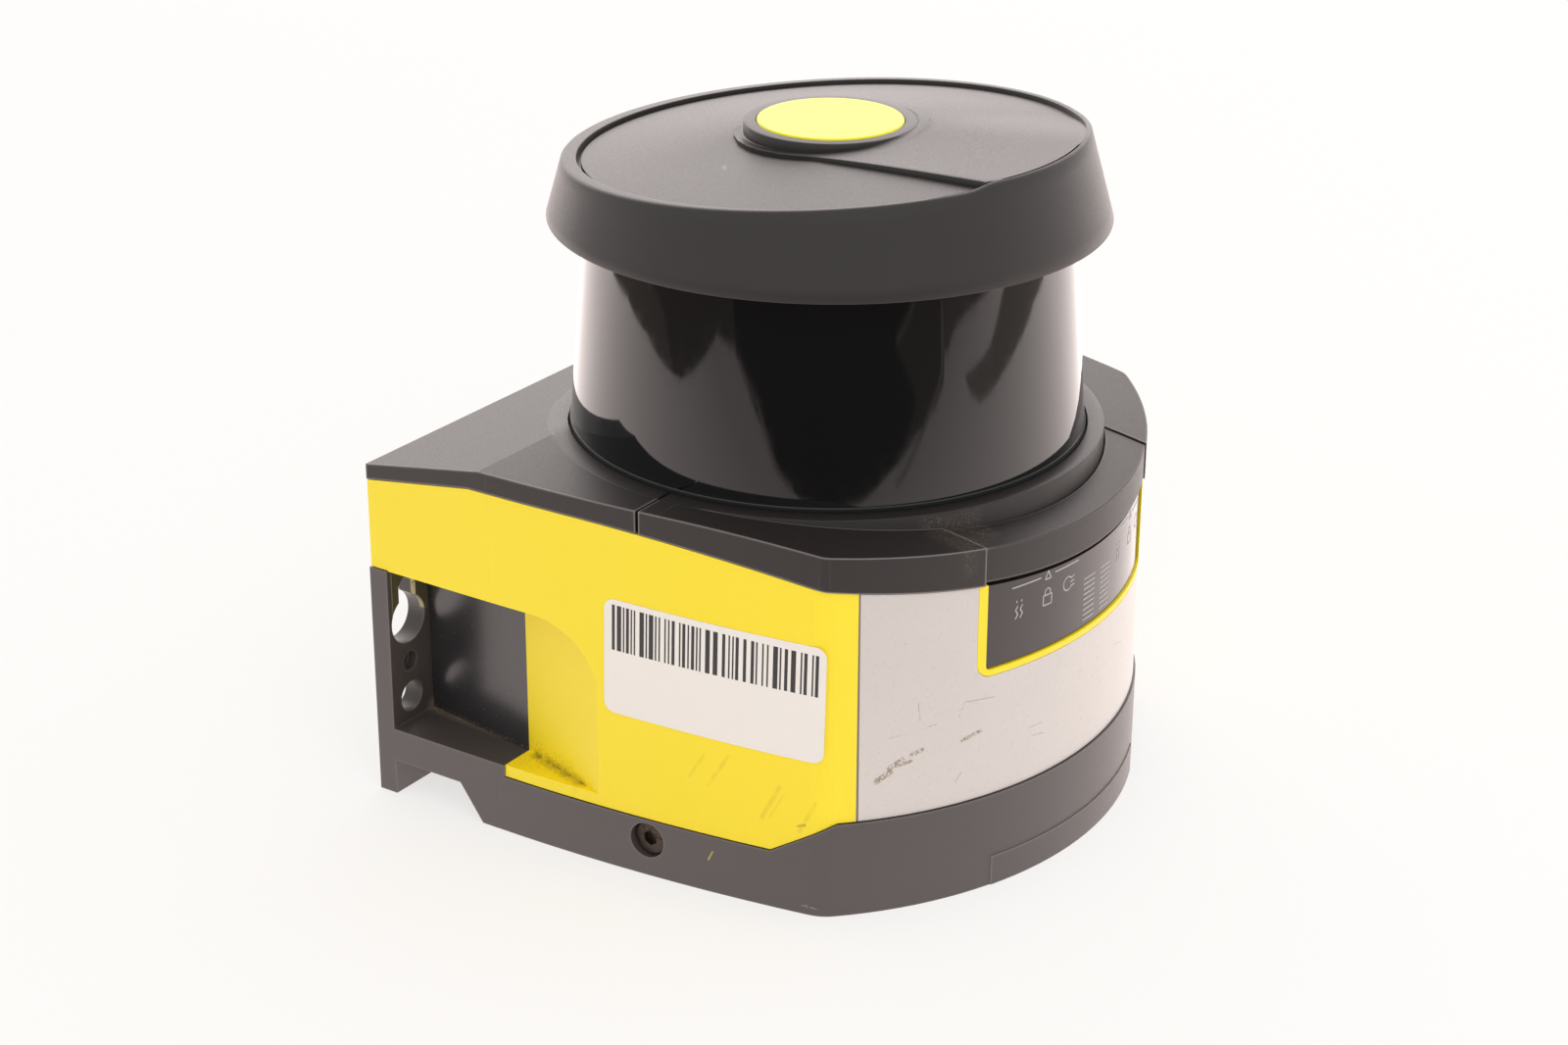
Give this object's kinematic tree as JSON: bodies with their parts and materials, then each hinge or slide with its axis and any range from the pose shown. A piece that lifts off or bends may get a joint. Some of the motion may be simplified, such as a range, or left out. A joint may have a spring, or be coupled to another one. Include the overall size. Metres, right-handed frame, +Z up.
{
  "type": "safety laser scanner",
  "caption": "Safety laser scanner with a glossy ring window under a tilted cap, seated in a grey connection unit with keyholes for a wall.",
  "frame": {"origin": "middle of the underside of the bounding box", "axes": "+Z up along the scan axis, the display and silver front face -Y, the mounting face looks along +Y"},
  "size_m": [0.14, 0.14, 0.149],
  "materials": {
    "cast_anthracite": "fine textured paint",
    "nickel": "olive passivated",
    "steel": "plain",
    "signal_yellow": "satin",
    "dark_gloss": "gloss",
    "board_plastic": "satin",
    "rubber": "matte",
    "label_silver": "fine satin film",
    "cover_black": "fine matte texture",
    "window_black": "polished, near-black",
    "disc_yellow": "satin",
    "board_green": "lacquered board",
    "spacer_plastic": "plain",
    "aluminium": "machined",
    "copper": "enamelled windings",
    "lens_glass": "polished",
    "brass": "turned",
    "magnet": "ground",
    "encoder_steel": "etched",
    "mirror": "front coated"
  },
  "bodies": {
    "scanner": {"connection_unit": "cast_anthracite", "keyhole_insert_left": "nickel", "keyhole_insert_right": "nickel", "locking_screws": "steel", "lock_blocks": "steel", "socket": "board_plastic", "terminal_block": "board_plastic", "cable_grommets": "rubber", "housing": "signal_yellow", "recess_panel_left": "dark_gloss", "recess_panel_right": "dark_gloss", "bottom_plate": "board_plastic", "bottom_screws": "steel", "plug": "board_plastic", "front_label": "label_silver", "display_panel": "dark_gloss", "display_board": "board_green", "rear_cover": "cover_black", "front_cover_left": "cover_black", "front_cover_right": "cover_black", "display_hood": "cover_black", "window_ring": "cover_black", "window_seal": "rubber", "window": "window_black", "cap": "cover_black", "cap_disc": "disc_yellow", "main_board": "board_green", "power_board": "board_green", "board_spacers": "spacer_plastic", "motor_plate": "aluminium", "motor_plate_screws": "steel", "lower_bearing": "steel", "upper_bearing": "steel", "motor_stator": "copper", "encoder_sensor": "board_plastic", "head_column": "aluminium", "optics_holder": "aluminium", "receiver_lens": "lens_glass", "receiver_tube": "board_plastic", "receiver_board": "board_green", "laser_module": "brass"},
    "rotor": {"motor_shaft": "steel", "rotor_bell": "aluminium", "rotor_magnet": "magnet", "encoder_disc": "encoder_steel", "mirror_carrier": "board_plastic", "scan_mirror": "mirror"}
  },
  "joints": [
    {"name": "mirror_spin", "type": "hinge", "parent": "scanner", "child": "rotor", "pos_m": [0, -0.002, 0.1], "axis": [0, 0, 1], "continuous": true}
  ]
}
